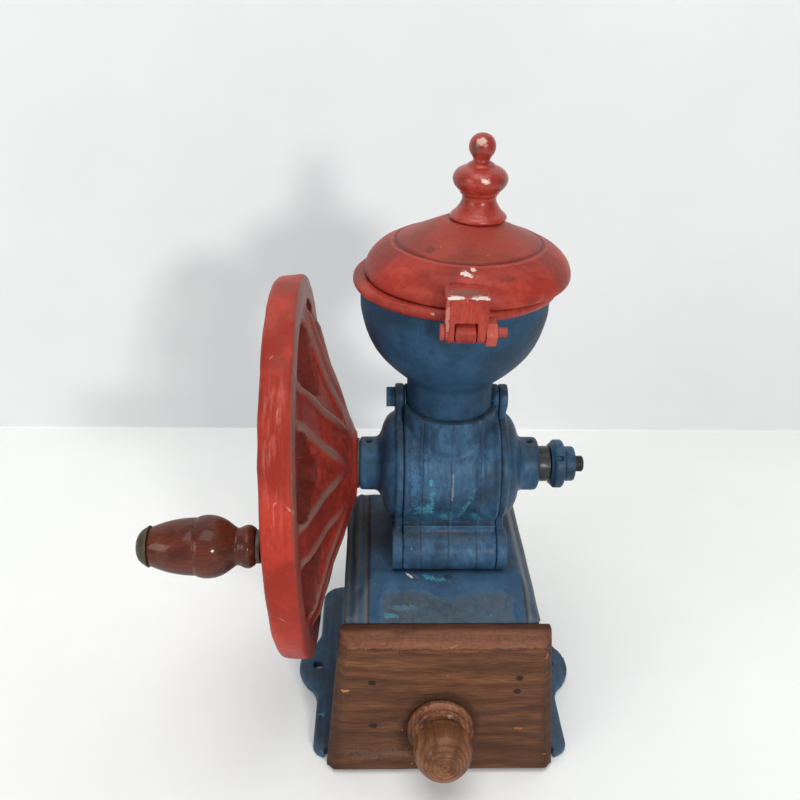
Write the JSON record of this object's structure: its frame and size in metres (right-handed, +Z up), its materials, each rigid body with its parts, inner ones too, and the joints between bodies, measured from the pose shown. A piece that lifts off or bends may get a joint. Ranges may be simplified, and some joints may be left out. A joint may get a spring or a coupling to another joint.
{
  "type": "hand crank coffee grinder",
  "caption": "Cast iron coffee mill with a spoked flywheel and crank grip, hinged lid over a bowl hopper, a burr chamber and a wooden drawer in a box base.",
  "frame": {"origin": "centre of the base underside between the two foot screw holes", "axes": "+Z up, -Y towards the drawer front, -X towards the flywheel and its crank grip"},
  "size_m": [0.2658, 0.2523, 0.3746],
  "materials": {
    "blue_iron": "thick blue brush paint over cast iron, worn and dusty",
    "red_iron": "brick red brush paint over cast iron, worn and dusty",
    "worn_steel": "dark, oiled steel with light rust",
    "burr_steel": "ground cutting faces",
    "drawer_wood": "dark stained board, waxed",
    "knob_wood": "turned, stained and waxed",
    "grip_wood": "turned hardwood, glossy varnish with worn patches",
    "bronze_cap": "dark aged brass"
  },
  "bodies": {
    "mill_body": {"base_casting": "blue_iron", "chamber_casing": "blue_iron", "left_end_plate": "blue_iron", "right_end_plate": "blue_iron", "front_tie_rod": "worn_steel", "rear_tie_rod": "worn_steel", "left_lug_screw": "worn_steel", "right_lug_stud": "worn_steel", "deck_screws": "worn_steel", "outer_burr": "burr_steel", "hopper": "blue_iron"},
    "drawer": {"drawer_front": "drawer_wood", "drawer_left_side": "drawer_wood", "drawer_right_side": "drawer_wood", "drawer_back": "drawer_wood", "drawer_bottom": "drawer_wood", "drawer_knob": "knob_wood", "knob_screw": "worn_steel", "drawer_nails": "worn_steel"},
    "wheel": {"drive_shaft": "worn_steel", "inner_burr": "burr_steel", "hub_washer": "worn_steel", "flywheel": "red_iron", "wheel_key": "worn_steel", "shaft_nut": "worn_steel", "crank_spindle": "worn_steel", "grip_washer": "worn_steel"},
    "grip": {"crank_grip": "grip_wood", "grip_end_cap": "bronze_cap"},
    "adjuster": {"adjusting_screw": "worn_steel", "stud_nut": "blue_iron"},
    "lock_ring": {"lock_ring": "blue_iron"},
    "lid": {"lid": "red_iron", "finial": "red_iron", "finial_stud": "worn_steel", "bracket_key": "worn_steel", "hinge_bracket": "red_iron", "hinge_pin": "worn_steel", "hinge_nut": "worn_steel"}
  },
  "joints": [
    {"name": "drawer_slide", "type": "slide", "parent": "mill_body", "child": "drawer", "axis": [0, -1, 0], "range_m": [0, 0.11]},
    {"name": "wheel_turn", "type": "hinge", "parent": "mill_body", "child": "wheel", "pos_m": [0.0035, 0.014, 0.168], "axis": [1, 0, 0], "continuous": true},
    {"name": "grip_turn", "type": "hinge", "parent": "wheel", "child": "grip", "pos_m": [-0.1063, -0.08325, 0.17736], "axis": [1, 0, 0], "continuous": true},
    {"name": "screw_turn", "type": "hinge", "parent": "mill_body", "child": "adjuster", "pos_m": [0.0635, 0.014, 0.168], "axis": [1, 0, 0], "range_deg": [-180, 180]},
    {"name": "lock_ring_turn", "type": "hinge", "parent": "adjuster", "child": "lock_ring", "pos_m": [0.0725, 0.014, 0.168], "axis": [1, 0, 0], "range_deg": [-90, 90]},
    {"name": "lid_hinge", "type": "hinge", "parent": "mill_body", "child": "lid", "pos_m": [0.0019, -0.051, 0.2885], "axis": [1, 0, 0], "range_deg": [0, 110]}
  ]
}
